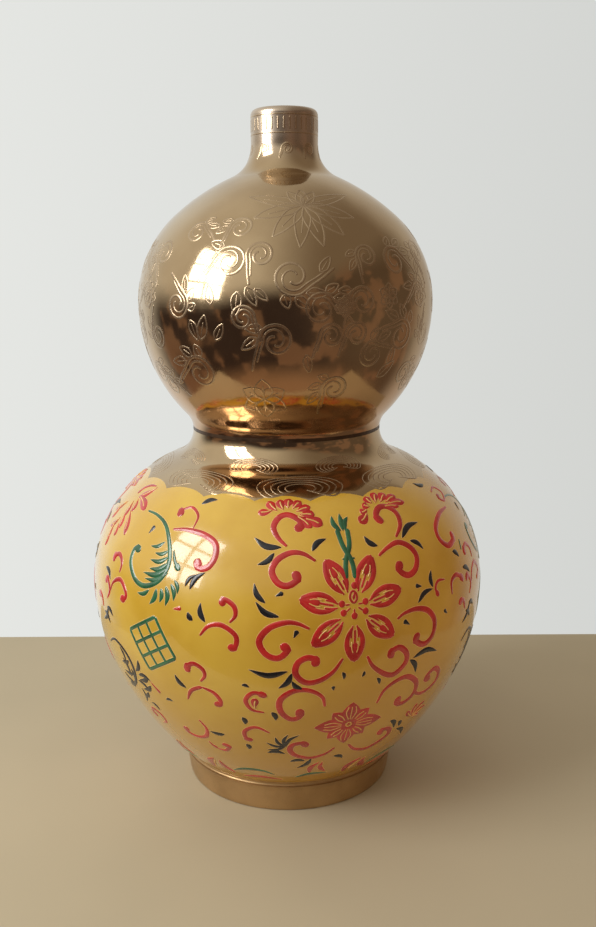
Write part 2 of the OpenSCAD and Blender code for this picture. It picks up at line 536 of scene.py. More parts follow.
def turned(name: str, profile: Sequence[Place], skin: int, smooth: float = 35.0) -> Any:
    """Turns a closed profile round the vase's axis.

    Args:
        name: Name of the piece.
        profile: Corners of the closed profile as radius and height, in millimetres.
        skin: How many of the profile's edges, from its first corner, take the first finish.
        smooth: Edges flatter than this many degrees are shaded smooth.

    Returns:
        The piece.
    """
    deselect()
    bpy.ops.mesh.primitive_circle_add(vertices=len(profile), radius=1.0)
    piece = bpy.context.object
    piece.name = name
    corners = np.array(profile)
    ring = np.stack([0 * corners[:, 0], -corners[:, 0], corners[:, 1]], -1) * MM
    piece.data.vertices.foreach_set("co", ring.ravel())
    bpy.ops.object.mode_set(mode="EDIT")
    bpy.ops.mesh.select_all(action="SELECT")
    bpy.ops.mesh.spin(steps=ROUND_STEPS, angle=math.tau, center=(0, 0, 0), axis=(0, 0, 1))
    close_up()
    bpy.ops.object.shade_smooth_by_angle(angle=math.radians(smooth))
    middles = (corners + np.roll(corners, -1, axis=0)) / 2 * MM
    centres = np.zeros(len(piece.data.polygons) * 3)
    piece.data.polygons.foreach_get("center", centres)
    x, y, z = centres.reshape(-1, 3).T
    place = np.stack([np.hypot(x, y), z], -1)
    nearest = np.argmin(np.hypot(*(place[:, None] - middles[None]).transpose(2, 0, 1)), axis=1)
    piece.data.polygons.foreach_set("material_index", (nearest >= skin).astype(np.int32))
    return piece


def dress(piece: Any, slot: str, *finishes: Finish) -> Any:
    """Gives a piece its finishes and its body, and logs its slot.

    Args:
        piece: The piece.
        slot: The record's material slot.
        finishes: The finishes of its material slots, in order.

    Returns:
        The piece.
    """
    piece.data.materials.clear()
    for finish in finishes:
        piece.data.materials.append(finish.material)
    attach(piece, "root")
    log.info("%s: %d faces, %s", piece.name, len(piece.data.polygons), slot)
    return piece


@dataclass
class Foot:
    """Turned foot ring with a bevelled edge, a soft upper edge and a groove under the bulb."""

    out_d: float = 109.4
    top_d: float = 114.0
    height: float = 18.0
    bore_r: float = 45.7
    bevel: float = 1.6
    groove_r: float = 1.2
    groove_in: float = 0.2
    inner_ease: float = 0.5
    outer_ease: float = 0.45
    top_ease: tuple[float, float, float] = (0.15, 0.7, 0.3)
    side_rows: Row = (0, 0.02, 0.3, 0.6, 0.75)

    def profile(self) -> list[Place]:
        """Corners of the ring's section."""
        out, top, rise = self.out_d / 2, self.top_d / 2, self.height - self.bevel
        side = [(out + (top - out) * t, self.bevel + rise * t) for t in self.side_rows]
        centre = np.array([top - self.groove_in, self.height - 2 * self.groove_r])
        groove = [tuple(centre - self.groove_r * heading(90 - a)) for a in range(0, 181, 20)]
        inset, low, high = self.top_ease
        return [
            (self.bore_r + self.inner_ease, self.inner_ease),
            (self.bore_r + self.bevel, 0),
            (out - self.bevel, 0),
            (out - self.outer_ease, self.outer_ease),
            *side,
            *groove,
            (top - inset, self.height - low),
            (top, self.height - high),
            (top, self.height),
            (self.bore_r, self.height),
            (self.bore_r, self.bevel),
        ]

    def build(self) -> None:
        """Builds and dresses the ring."""
        profile = self.profile()
        ring = turned("foot_ring_turned", profile, len(profile) - 2)
        dress(ring, "foot_gilt", Finish.COPPER, Finish.SLIP)
        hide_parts("foot_ring")


@dataclass
class Shell:
    """A luted section of the vase's shell, between two runs of the outer wall."""

    name: str
    node: str
    slot: str
    outer: Finish
    start: float
    end: float
    lean: float = 2.44
    pitch: float = 3.0

    def inner_run(self, run: float) -> float:
        """Run at which a slanting joint reaches the inner wall."""
        part = WALL.parts[int(WALL.part_at(run))]
        return run + self.lean * part.radius / (part.radius - WALL.wall)

    def profile(self) -> tuple[list[Place], list[Place]]:
        """Corners of the section's outer wall, and of the rest of its outline."""
        inner = self.inner_run(self.end), self.inner_run(self.start)
        return WALL.line(self.start, self.end), WALL.line(*inner, WALL.wall, self.pitch)

    def build(self) -> None:
        """Builds and dresses the section."""
        outer, rest = self.profile()
        piece = turned(self.name, outer + rest, len(outer) - 1)
        dress(piece, self.slot, self.outer, Finish.INSIDE)
        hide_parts(self.node)


@dataclass
class Bowl(Shell):
    """The lowest section, thrown with the vase's floor."""

    floor_z: float = 26.0
    floor_rings: Row = (0.0, 10.0, 25.0, 40.0)
    search: float = 40.0
    tries: int = 400

    def profile(self) -> tuple[list[Place], list[Place]]:
        """Corners of the outer wall, and of the inner wall and the floor."""
        runs = np.linspace(self.start, self.start + self.search, self.tries)
        floor_run = float(runs[np.argmin(np.abs(WALL.at(runs, WALL.wall)[:, 1] - self.floor_z))])
        inner = WALL.line(self.inner_run(self.end), floor_run, WALL.wall, self.pitch)
        floor = [(radius, self.floor_z) for radius in self.floor_rings[::-1]]
        under = [(radius, WALL.foot_h) for radius in self.floor_rings]
        return WALL.line(self.start, self.end), inner + floor + under


@dataclass
class Neck(Shell):
    """The neck with its trumpet root and rounded lip."""

    pitch: float = 2.0
    lip_r: float = 3.0
    lip_inner_r: float = 1.6
    top: float = 345.0
    bore_r: float = 11.5
    gilt_depth: float = 10.0

    def profile(self) -> tuple[list[Place], list[Place]]:
        """Corners of the gilded wall, lip and mouth, and of the inner wall."""
        outer = WALL.line(self.start, self.end)
        centre = WALL.neck_r - self.lip_r, self.top - self.lip_r
        lip = [tuple(centre + self.lip_r * heading(a)) for a in range(9, 91, 9)]
        centre = self.bore_r + self.lip_inner_r, self.top - self.lip_inner_r
        lip += [tuple(centre + self.lip_inner_r * heading(a)) for a in range(90, 181, 15)]
        lip.append((self.bore_r, self.top - self.gilt_depth))
        inner = WALL.line(self.end - self.gilt_depth, self.start, WALL.wall, self.pitch)
        return outer + lip, inner


class Brush(Enum):
    """How a stroke's width runs along it."""

    CURL = "curl"
    LEAF = "leaf"
    PETAL = "petal"
    LINE = "line"
    COMMA = "comma"


@dataclass(frozen=True)
class Stroke:
    """One raised enamel stroke on the wall.

    The path is a row of places, each a turn in degrees and a run in millimetres.
    """

    path: Sequence[Place]
    half: float = 0.8
    brush: Brush = Brush.CURL
    ball: float = 1.45

    STEPS = 24
    FORMS = {Brush.LEAF: (0.85, 0.8), Brush.PETAL: (1.7, 0.6)}
    COMMA_TAPER = 0.7
    CURL_START = 0.42
    TIP_MM = 1.5
    TIP_CUTS = np.array([0, 0.12, 0.35, 0.7, 1.1])
    SHORT = 4.0
    THINNEST = 0.02
    CROWN_MM = 0.3
    PITCH = 0.9
    MOST_CUTS = 400
    LOOK = 0.4
    COLUMNS = np.array([-1, -0.62, 0, 0.62, 1, 0])
    RISES = np.array([-0.03, 0.78, 1, 0.78, -0.03, -0.25])

    def centreline(self) -> tuple[np.ndarray, np.ndarray]:
        """Smooth line through the path.

        Returns:
            The places along it and their distances from its start, in millimetres.
        """
        knots = np.array(self.path, float)
        knots = np.concatenate([[2 * knots[0] - knots[1]], knots, [2 * knots[-1] - knots[-2]]])
        steps = np.linspace(0, 1, self.STEPS, endpoint=False)[:, None]
        pieces = []
        for a, b, c, d in zip(knots, knots[1:], knots[2:], knots[3:]):
            bend = 2 * b + (c - a) * steps + (2 * a - 5 * b + 4 * c - d) * steps**2
            pieces.append(0.5 * (bend + (3 * b - a - 3 * c + d) * steps**3))
        line = np.concatenate([*pieces, knots[-2:-1]])
        gaps = np.diff(line, axis=0)
        gaps[:, 0] *= np.radians(WALL.at(line[1:, 1])[:, 0])
        return line, np.concatenate([[0], np.cumsum(np.hypot(gaps[:, 0], gaps[:, 1]))])

    def half_width(self, done: np.ndarray, length: float) -> np.ndarray:
        """Half width of the stroke.

        Args:
            done: Distances from its start, in millimetres.
            length: Its whole length.

        Returns:
            Half the width at each distance.
        """
        left = length - done
        share = done / length
        if self.brush in self.FORMS:
            lean, blunt = self.FORMS[self.brush]
            return self.half * np.sin(np.pi * share**lean) ** blunt
        head = self.rounded(done, self.half)
        if self.brush is Brush.COMMA:
            return self.half * np.minimum((1 - share) ** self.COMMA_TAPER, head / self.half)
        if self.brush is Brush.LINE:
            return np.minimum(head, self.rounded(left, self.half))
        growth = (1 - self.CURL_START) * np.sin(np.pi * np.clip(share, 0, 0.5))
        tip = np.sqrt(np.minimum(1, done / self.TIP_MM))
        body = np.where(left > self.ball, self.half * np.minimum(self.CURL_START + growth, tip), 0)
        return np.maximum(body, self.rounded(left, self.ball) * (left < 2 * self.ball))

    @staticmethod
    def rounded(far: np.ndarray, radius: float) -> np.ndarray:
        """Half width of a round end of that radius, at distances from its tip."""
        near = np.clip(far, 0, radius)
        return np.sqrt(radius**2 - (radius - near) ** 2)

    def rings(self, lift: float, wider: float = 0.0) -> np.ndarray:
        """Cross-sections of the stroke, laid on the wall.

        Args:
            lift: Height of its crown above the wall, in millimetres.
            wider: What is added to its half width.

        Returns:
            Points in metres: sections by six corners by three.
        """
        line, run = self.centreline()
        length = run[-1]
        ends = self.TIP_CUTS * min(1, length / self.SHORT)
        inner = np.linspace(0.4, 0.6, 3) * length
        if length > self.SHORT:
            cuts = int(np.clip(length / self.PITCH, 4, self.MOST_CUTS))
            inner = np.linspace(self.TIP_MM, length - self.TIP_MM, cuts)
        places = np.concatenate([ends, inner, length - ends[::-1]])
        turn, along = np.interp(places, run, line[:, 0]), np.interp(places, run, line[:, 1])
        ahead = np.minimum(places + self.LOOK, length)
        behind = np.maximum(places - self.LOOK, 0)
        right, up = (np.interp(ahead, run, x) - np.interp(behind, run, x) for x in line.T)
        right = np.radians(right) * WALL.at(along)[:, 0]
        size = np.maximum(np.hypot(right, up), MERGE_M)
        across = np.stack([-up / size, right / size], -1)
        half = np.maximum(self.half_width(places, length), self.THINNEST) + wider
        crown = lift * (1 - np.exp(-half / self.CROWN_MM))
        side = half[:, None] * self.COLUMNS
        height = np.where(self.RISES > 0, crown[:, None] * self.RISES, self.RISES)
        runs = along[:, None] + side * across[:, 1:]
        turns = turn[:, None] + np.degrees(side * across[:, :1] / WALL.at(runs)[..., 0])
        return WALL.wrap(turns, runs, height)

    def vein(self) -> "Stroke":
        """A fine line along the middle of the stroke."""
        root, middle, tip = np.array([self.path[0], self.path[len(self.path) // 2], self.path[-1]])
        near, far = 0.8 * root + 0.2 * middle, 0.6 * tip + 0.4 * middle
        return line(tuple(near), tuple(middle), tuple(far), half=0.42)

    def turned_by(self, angle: float) -> "Stroke":
        """The same stroke further round the vase."""
        return replace(self, path=[(turn + angle, run) for turn, run in self.path])


@dataclass
class Painting:
    """All strokes of one finish on one side of the vase, fired on as one raised layer."""

    name: str
    slot: str
    finish: Finish
    strokes: list[Stroke]
    lift: float = 0.28
    wider: float = 0.0
    smooth: float = 60.0

    def build(self) -> None:
        """Lays every stroke on the wall as a closed solid and dresses the layer.

        An edit-mode tool can't lay a tapering stroke on a wall that curves both ways, so the
        corners of each cross-section are placed by the outline's own formula.
        """
        points, faces = [], []
        base = 0
        for stroke in self.strokes:
            rings = stroke.rings(self.lift, self.wider)
            count, corners = rings.shape[:2]
            points.append(rings.reshape(-1, 3))
            grid = base + np.arange(count * corners).reshape(count, corners)
            after = np.roll(grid, -1, axis=1)
            quads = np.stack([grid[:-1], grid[1:], after[1:], after[:-1]], -1)
            faces += quads.reshape(-1, 4).tolist()
            faces += [grid[0].tolist(), grid[-1][::-1].tolist()]
            base += count * corners
        mesh = bpy.data.meshes.new(self.name)
        mesh.from_pydata(np.concatenate(points).tolist(), [], faces)
        layer = bpy.data.objects.new(self.name, mesh)
        bpy.context.scene.collection.objects.link(layer)
        deselect()
        layer.select_set(True)
        bpy.context.view_layer.objects.active = layer
        bpy.ops.object.shade_smooth_by_angle(angle=math.radians(self.smooth))
        dress(layer, self.slot, self.finish)


def leaf(start: Place, end: Place, half: float = 1.5, bow: float = 0.14) -> Stroke:
    """A pointed leaf from one place to another, bowed to its left by a share of its length."""
    scale = math.radians(WALL.radius_at(start[1]))
    right, up = (end[0] - start[0]) * scale, end[1] - start[1]
    middle = (start[0] + end[0]) / 2 - bow * up / scale, (start[1] + end[1]) / 2 + bow * right
    return Stroke((start, middle, end), half, Brush.LEAF)


def petal(start: Place, end: Place, half: float) -> Stroke:
    """A petal with a narrow root and a round tip."""
    return replace(leaf(start, end, half, 0.06), brush=Brush.PETAL)


def line(*path: Place, half: float = 0.35) -> Stroke:
    """A line of even width with round ends."""
    return Stroke(path, half, Brush.LINE)


def comma(start: Place, end: Place, half: float = 1.5) -> Stroke:
    """A drop with a round head and a thin tail."""
    middle = (start[0] + end[0]) / 2, (start[1] + end[1]) / 2
    return Stroke((start, middle, end), half, Brush.COMMA)


def dot(place: Place, half: float = 0.8) -> Stroke:
    """A round dot."""
    return line((place[0], place[1] - half), place, (place[0], place[1] + half), half=half)


def places(row: Row) -> list[Place]:
    """The places of a row that gives turn and run in turn."""
    return list(zip(row[::2], row[1::2]))


def curls(*rows: Row) -> list[Stroke]:
    """Tendrils that start thin and end in a ball: half width, the ball's, then their places."""
    return [Stroke(places(row[2:]), row[0], Brush.CURL, row[1]) for row in rows]


def each(make: Callable[..., Stroke], *rows: Row) -> list[Stroke]:
    """Strokes of one kind: turn and run of both ends, then the half width if it has its own."""
    return [make(row[:2], row[2:4], *row[4:]) for row in rows]


@dataclass(frozen=True)
class Spot:
    """A place on the wall with axes in millimetres: x to the right and y up the wall."""

    turn: float
    run: float
    tilt: float = 0.0

    def to(self, right: float, up: float) -> Place:
        """The place that lies so far to the right and up, after the spot's own tilt."""
        cos, sin = heading(self.tilt).tolist()
        x, y = right * cos - up * sin, right * sin + up * cos
        return self.turn + math.degrees(x / WALL.radius_at(self.run + y)), self.run + y

    def path(self, *points: Place) -> list[Place]:
        """Several such places."""
        return [self.to(*point) for point in points]

    def ray(self, direction: float) -> "Spot":
        """The same spot with its x axis turned to a direction in degrees."""
        return replace(self, tilt=self.tilt + direction)


@dataclass
class Pattern:
    """Strokes of the painted pattern by finish."""

    red: list[Stroke] = field(default_factory=list)
    green: list[Stroke] = field(default_factory=list)
    black: list[Stroke] = field(default_factory=list)
    lines: list[Stroke] = field(default_factory=list)

    def layers(self) -> tuple[list[Stroke], ...]:
        """Its four lists of strokes."""
        return self.red, self.green, self.black, self.lines

    def turned_by(self, angle: float, right_end: float = FULL_TURN) -> "Pattern":
        """The pattern further round the vase, or only its strokes that start left of a turn."""
        return Pattern(*(
            [stroke.turned_by(angle) for stroke in layer if stroke.path[0][0] < right_end]
            for layer in self.layers()
        ))

    def add(self, *others: "Pattern") -> None:
        """Takes in other patterns' strokes."""
        for other in others:
            for mine, theirs in zip(self.layers(), other.layers()):
                mine.extend(theirs)


def veined(petals: list[Stroke]) -> Pattern:
    """Red petals with a fine pale line along each."""
    return Pattern(red=petals, lines=[shape.vein() for shape in petals])


@dataclass
class RoseColumn:
    """The column of the big flower, the diamond-shaped lotus and their tendrils."""

    flower: Spot = Spot(17.5, 137.0)
    petals: Row = (64.3, 12.9, -38.6, -90.0, -141.4, 167.1, 115.7)
    petal_reach: float = 24.5
    petal_half: float = 4.3
    seeds: Rows = ((-5.5, 2.5), (-5, -1.5), (0, -3.3), (5.3, -1.7), (5.5, 2.5), (0.9, 10.0))
    lotus: Spot = Spot(18.5, 75.0)
    lotus_petals: Rows = ((90, 14.5, 4.8), (180, 16.5, 4.8), (0, 17, 4.8), (-90, 14.5, 4.8))
    tendrils: Rows = (
        (1.6, 2.2, 26.5, 158.5, 30, 161.5, 34, 163, 37.5, 160, 39, 155, 37.5, 149.5, 34.5, 147.5,
         32, 150.5, 33, 154.5),
        (1.6, 2.2, 8.3, 159, 5, 162.5, 1.5, 163, -2, 160, -3.5, 155, -2, 150, 0.5, 148.5, 3, 151,
         2.5, 155),
        (1.6, 2.2, 29.5, 129, 32, 131, 36, 131.5, 40, 129, 42.5, 123, 42, 116, 39, 113, 36, 116,
         36.5, 120),
        (1.6, 2.2, 6, 129.5, 3, 132, 0, 132.5, -4, 130, -6.5, 124, -5, 118, -2, 116, 0.3, 119.5,
         -1, 123),
        (1.6, 2.2, 21, 114, 23, 108, 27, 102.5, 30, 101.5, 33, 106, 33, 111, 30.5, 115, 28, 113.5,
         28.5, 110.5),
        (1.6, 2.2, 14.5, 114.5, 12, 108, 8.5, 104, 5, 103.5, 2.5, 108, 3, 113.5, 5.5, 116, 7.5,
         114.5, 7, 111.5),
        (1.6, 2.2, 10.5, 89, 9.5, 95, 6, 99, 2, 99, -1.5, 94, -1.5, 87, 1, 82, 3.5, 83, 3.7, 88.5),
        (1.6, 2.2, 26, 86, 27.5, 93, 31, 97, 35, 97.5, 39, 92, 39.5, 85, 37, 81, 34, 81.5, 33.5,
         86.5),
        (1.6, 2.2, 39, 89, 41, 84, 45, 82.5, 49, 86, 49, 92, 46, 96, 43, 93, 45, 90),
        (1.6, 2.2, 16, 57.5, 13, 52.5, 8, 50, 3, 53, 1, 58, 2, 62.5, 5, 63.5, 6.5, 60.5),
        (1.6, 2.2, 20.5, 58.5, 24, 52.5, 29, 50, 33.5, 53, 36.5, 58, 35, 63, 32, 63.5, 32.5, 60),
        (1.6, 2.2, 0.5, 166, -2, 170, -3.5, 175, -2, 180, 1, 181.5, 4.5, 178.5, 4.5, 175, 2.7,
         174.5),
        (1.6, 2.2, 34, 165.5, 37.5, 171, 38.3, 177, 36, 181, 33, 181.5, 30.5, 178.5, 30.5, 175.5,
         32, 174),
        (1.25, 1.9, -14, 131.5, -12.5, 135, -13, 139, -15.5, 141.5, -16.3, 138.5),
        (1.3, 2, -22, 124, -19.5, 129, -16, 130, -12.5, 126, -12.5, 121, -14.5, 119.5),
        (1.3, 2, -23, 100.5, -21.5, 104, -22, 107.5, -24.5, 109.5, -26.5, 107, -26, 104.5),
        (1.25, 1.9, -23, 97.5, -19.5, 95, -18, 90, -20, 87.5),
        (1.1, 1.1, -28.5, 88, -26.5, 94, -23, 97.5),
        (1.25, 1.9, -6, 86, -9.5, 87.5, -10.8, 93, -8.5, 97.5, -5, 96),
        (1.25, 1.9, -5, 72, -9, 75.5, -12.5, 72, -12.5, 66.5, -10.5, 65.5),
        (1.25, 1.9, -24.5, 53.5, -21.5, 53, -19.7, 57, -22, 58.5),
    )
    dark_leaves: Rows = (
        (7.5, 163.5, 12, 169), (27, 163, 23.5, 168.5), (-1, 165.5, -9, 170, 1.6),
        (36, 164.5, 45, 170, 1.6), (38.5, 162.5, 42.5, 157, 1.4), (-3, 163, -7.5, 157.5, 1.4),
        (42.5, 139, 43, 147, 1.4), (36.5, 134, 42.5, 138.5, 1.4), (35.5, 107.5, 45, 106.5, 1.6),
        (34.5, 107, 37.5, 98.5), (0.5, 109.5, -9.5, 110, 1.6), (1.5, 108.5, -2, 100.5),
        (4.5, 99.5, 1.5, 104.5), (14.5, 107.5, 15, 103.5, 1), (20.5, 106.5, 20, 103.5, 0.9),
        (24.5, 101.5, 25.5, 97.5, 1), (-4, 86.5, -3, 81), (-12.5, 82, -12, 77), (34, 70, 37.5, 62),
        (38.5, 66.5, 40, 61.5), (39.5, 60, 45.5, 51), (16.5, 49.5, 20.5, 46), (1, 47.5, 6.5, 47.5),
        (8.5, 49, 3.5, 40), (-5, 141, -8, 149.5, 1.4), (-1.5, 135, -7.5, 141.5),
        (-11.5, 101.5, -9.5, 100.5, 1), (-19.5, 67.5, -24.5, 68), (-13, 62, -12.5, 57.5),
        (-20.5, 130.5, -22, 139), (-24, 130.5, -25.5, 134), (-6.5, 56, -0.5, 55),
        (-0.5, 61, 4, 70.5, 1.1), (-0.5, 61, 0.5, 71, 1.1), (-0.5, 61, -3.5, 69, 1.1),
        (-0.5, 61, -6.5, 64.5, 1.1), (-0.5, 61, -6.5, 58.5, 1.1),
    )
    drops: Rows = (
        (-0.5, 145.5, -2.5, 144, 1.4), (36.3, 142, 38.5, 141, 1.4), (3, 129, 2, 125.5),
        (31.5, 127.5, 33.5, 125), (46.5, 126.5, 48, 124, 1.3), (12.3, 100.5, 12.5, 98, 1.3),
    )
    small_petals: Rows = (
        (-8.5, 88, -8, 94.5, 2), (44.5, 66, 40.5, 72, 1.7), (44.5, 66, 44, 75.5, 1.7),
        (44.5, 66, 48, 74.5, 1.7), (44.5, 66, 50.5, 69.5, 1.7), (44.5, 66, 49, 63.5, 1.7),
        (-4, 184, -9, 182.5, 2.1), (-2.5, 183.5, -6, 189, 2.3), (-0.5, 184, -2, 190, 2.3),
        (1, 185, 1.5, 190.5, 2.5), (2.5, 184.5, 5.5, 189, 2.3), (3.5, 183, 8.5, 185.5, 2.3),
        (4.5, 181.5, 9.5, 181, 2.5), (6, 179.5, 11.5, 175.5, 2.9), (3.5, 181, 8, 174.5, 2.6),
        (27.5, 180, 23.5, 175, 2.6), (28, 181.5, 25, 180, 2.2), (29.5, 182.5, 27, 184.5, 2.3),
        (31, 184, 29.5, 188.5, 2.3), (32.5, 184, 34.5, 190, 2.3), (34.5, 184, 38.5, 188.5, 2.5),
        (36.5, 183.5, 42.5, 186, 2.3), (37, 182.5, 44.5, 181.5, 2.2), (34.5, 181.5, 41, 180, 1.8),
    )
    stems: Rows = (
        (16, 150, 16.6, 158, 18.4, 165, 18.9, 173), (18.6, 150, 18.2, 158, 16.5, 165, 15.6, 173),
    )
    stem_tips: Rows = (
        (16.8, 172, 14.8, 180, 1.4), (17.5, 172, 17.6, 181, 1.4, 0), (18.2, 172, 20.2, 179, 1.4),
    )

    def big_flower(self) -> Pattern:
        """Seven outlined petals round a drop-shaped heart with seeds."""
        made = Pattern()
        reach, half = self.petal_reach, self.petal_half
        for direction in self.petals:
            axis = self.flower.ray(direction)
            for side in (1, -1):
                wide = half * side
                edge = (8.5, 1.3 * side), (12, 0.72 * wide), (16.5, 0.86 * wide), (20.5, 0.6 * wide)
                made.red.append(Stroke(axis.path(*edge, (reach, 0)), 1.35, Brush.CURL, 1.0))
                root = (7.5, 0.9 * side), (10.5, 1.6 * side), (13.5, 1.8 * side)
                made.red.append(line(*axis.path(*root), half=0.5))
                fold = (15, 1.5 * side), (18, 1.5 * side), (20.5, 0.8 * side)
                made.lines.append(line(*axis.path(*fold), half=0.32))
            tip = axis.path((15.5, 0), (20.5, 0), (reach + 0.6, 0))
            made.red.append(Stroke(tip, 3.1, Brush.LEAF))
            made.red.append(line(*axis.path((9.5, 0), (14, 0), (18, 0)), half=0.6))
        heart = (0, 2.2), (1.5, 4), (1.4, 6.4), (0, 7.8), (-1.4, 6.4), (-1.5, 4), (0, 2.2)
        made.red.append(line(*self.flower.path(*heart), half=0.6))
        made.red.append(Stroke(self.flower.path((0, 3.8), (0, 5), (0, 6.2)), 0.6, Brush.LEAF))
        for x, y in self.seeds:
            made.red.append(dot(self.flower.to(x, y), 1.6))
            thread = self.flower.path((0.35 * x, 0.35 * y + 1), (0.75 * x, 0.75 * y))
            made.red.append(line(*thread, half=0.45))
        return made

    def diamond_lotus(self) -> Pattern:
        """Eight-lobed lotus drawn out to four tips."""
        made = Pattern()
        for direction, reach, half in self.lotus_petals:
            axis = self.lotus.ray(direction)
            made.red.append(Stroke(axis.path((1.5, 0), (8, 0), (reach, 0)), half, Brush.LEAF))
            for side in (1.5, 0, -1.5):
                fold = axis.path((3.5, 0.5 * side), (8, 1.6 * side), (12, 1.1 * side))
                made.lines.append(line(*fold, half=0.32))
        for direction in (45, 135, 225, 315):
            axis = self.lotus.ray(direction)
            made.red.append(Stroke(axis.path((1.5, 0), (6.5, 0), (12.8, 0)), 4.2, Brush.LEAF))
            for side in (1, -1):
                fold = axis.path((4, 0.6 * side), (7, 1.3 * side), (10, 0.9 * side))
                made.lines.append(line(*fold, half=0.38))
        eye = self.lotus.path((1.6, 0), (0, 1.6), (-1.6, 0), (0, -1.6), (1.6, 0))
        made.lines.append(line(*eye, half=0.3))
        made.red.append(dot(self.lotus.to(0, 0), 0.8))
        return made

    def pattern(self) -> Pattern:
        """The whole column."""
        made = Pattern(
            red=curls(*self.tendrils),
            green=[line(*places(row), half=1.25) for row in self.stems]
            + [line((15.6, 159), (19.3, 159), half=0.5), *each(leaf, *self.stem_tips)],
            black=each(leaf, *self.dark_leaves) + each(comma, *self.drops),
        )
        flowers = veined(each(petal, *self.small_petals))
        made.add(self.big_flower(), self.diamond_lotus(), flowers)
        return made


@dataclass
class ScrollColumn:
    """The column of the green scroll, the lattice sign and the dark scroll."""

    lattice: Spot = Spot(-38.0, 114.0, 30.0)
    lattice_half: float = 10.5
    green_curls: Rows = (
        (1.35, 2, -51, 175, -46, 174.5, -41, 172, -37.5, 167.5, -34.5, 160, -33.5, 153, -35, 146.5,
         -38, 142.5, -41.5, 141, -45, 143, -48, 148.5, -48.7, 153, -48, 156.5, -45.5, 156),
        (0.9, 1.6, -33, 160, -31.5, 155, -29.5, 151.5),
    )
    fronds: Rows = (
        (-34.5, 159.5, -39.5, 157, 1.1), (-34, 156.5, -40.5, 153.5, 1.3),
        (-33.5, 154, -40, 149.5, 1.4), (-33, 152, -42, 147), (-33, 149.5, -41, 144.5, 1.3),
        (-38.5, 140, -43, 137, 1.2), (-36, 141.5, -38, 133.5), (-34.5, 142, -34.5, 135.5, 1.4),
        (-33, 143.5, -32.5, 134.5), (-31.5, 145, -30, 137.5, 1.4), (-30.5, 147, -29, 141, 1.2),
        (-37, 163, -42, 159.5, 1.1),
    )
    dark_curl: Row = (
        1.3, 2.2, -61, 103, -58, 106, -55, 106.5, -51, 103, -49, 97, -49.5, 90, -52, 84, -56, 81,
    )
    dark_leaves: Rows = (
        (-45, 102, -48, 94), (-42.5, 93.5, -47.5, 89.5), (-42.5, 88.5, -47.5, 83.5),
        (-45.5, 82.5, -49.5, 77.5, 1.4), (-50.5, 98.5, -55.5, 95.5, 1.4), (-50.5, 91, -56, 90, 1.4),
        (-52.5, 84.5, -57.5, 87.5, 1.3), (-46.5, 75.5, -43.5, 71.5, 1.2), (-28, 95, -31, 101.5),
        (-37.5, 83, -34.5, 83.5, 1), (-25.5, 144, -21.5, 152.5, 1.4), (-27, 145, -24, 151, 1),
        (-54, 104.5, -52.5, 95.5, 1.2), (-54, 98.5, -52.5, 87.5, 1.4), (-50.5, 94, -52, 82.5, 1.4),
        (-48.5, 88.5, -44, 83.5, 1.3), (-48.5, 83.5, -50, 73, 1), (-47, 92.5, -41.5, 92, 1.4),
        (-30, 184.5, -24.5, 188),
        (-61.5, 141.5, -57, 137), (-59, 122.5, -55, 119.5), (-61, 119.5, -57.5, 114.5),
        (-58, 123, -63, 114),
    )
    tendrils: Rows = (
        (0.8, 2.2, -29, 171, -29, 178, -33, 182, -36.5, 179, -35, 177),
        (1.6, 2.2, -36, 169.5, -31, 170.5, -25, 169.5, -20.5, 166, -19.5, 160, -21, 155, -23.5,
         154, -25, 158),
        (1.3, 2, -27, 75, -25.5, 69, -27, 62.5, -31, 60, -34.5, 62, -34, 66),
        (0.9, 1.2, -27, 58.5, -26, 55.5, -24.5, 53.5),
        (1.3, 2, -52.5, 142.5, -52.5, 147.5, -55, 150.5, -57.5, 148.5, -57, 146),
        (1.3, 2, -56.5, 132, -55, 137, -51.5, 139.5, -48.5, 136, -48, 132.5, -50.5, 130.5),
        (1.3, 2, -58.5, 127, -57, 132, -59, 136.5, -60.5, 134.5),
        (1.3, 2, -62, 121, -63, 126, -66, 126),
        (1.3, 2, -47, 60, -44.3, 63, -45.2, 68, -48.5, 69.5, -50, 66, -48.5, 63.5),
    )

    def lattice_sign(self) -> list[Stroke]:
        """A square lattice of lines, turned on the wall."""
        half = self.lattice_half
        corners = (half, half), (-half, half), (-half, -half), (half, -half), (half, half)
        ring = self.lattice.path(*corners)
        made = [line(start, end, half=1.0) for start, end in zip(ring, ring[1:])]
        for at in (-half / 3, half / 3):
            made.append(line(*self.lattice.path((at, -half), (at, half)), half=0.9))
            made.append(line(*self.lattice.path((-half, at), (half, at)), half=0.9))
        return made

    def pattern(self) -> Pattern:
        """The whole column."""
        red_drops = each(comma, (-27.5, 135, -30, 134, 1.3), (-39, 86, -42, 92, 1.3))
        dark = curls(self.dark_curl) + each(comma, (-43.8, 169, -45, 164.5))
        return Pattern(
            red=curls(*self.tendrils) + red_drops,
            green=curls(*self.green_curls) + each(leaf, *self.fronds) + self.lattice_sign(),
            black=dark + each(leaf, *self.dark_leaves),
        )


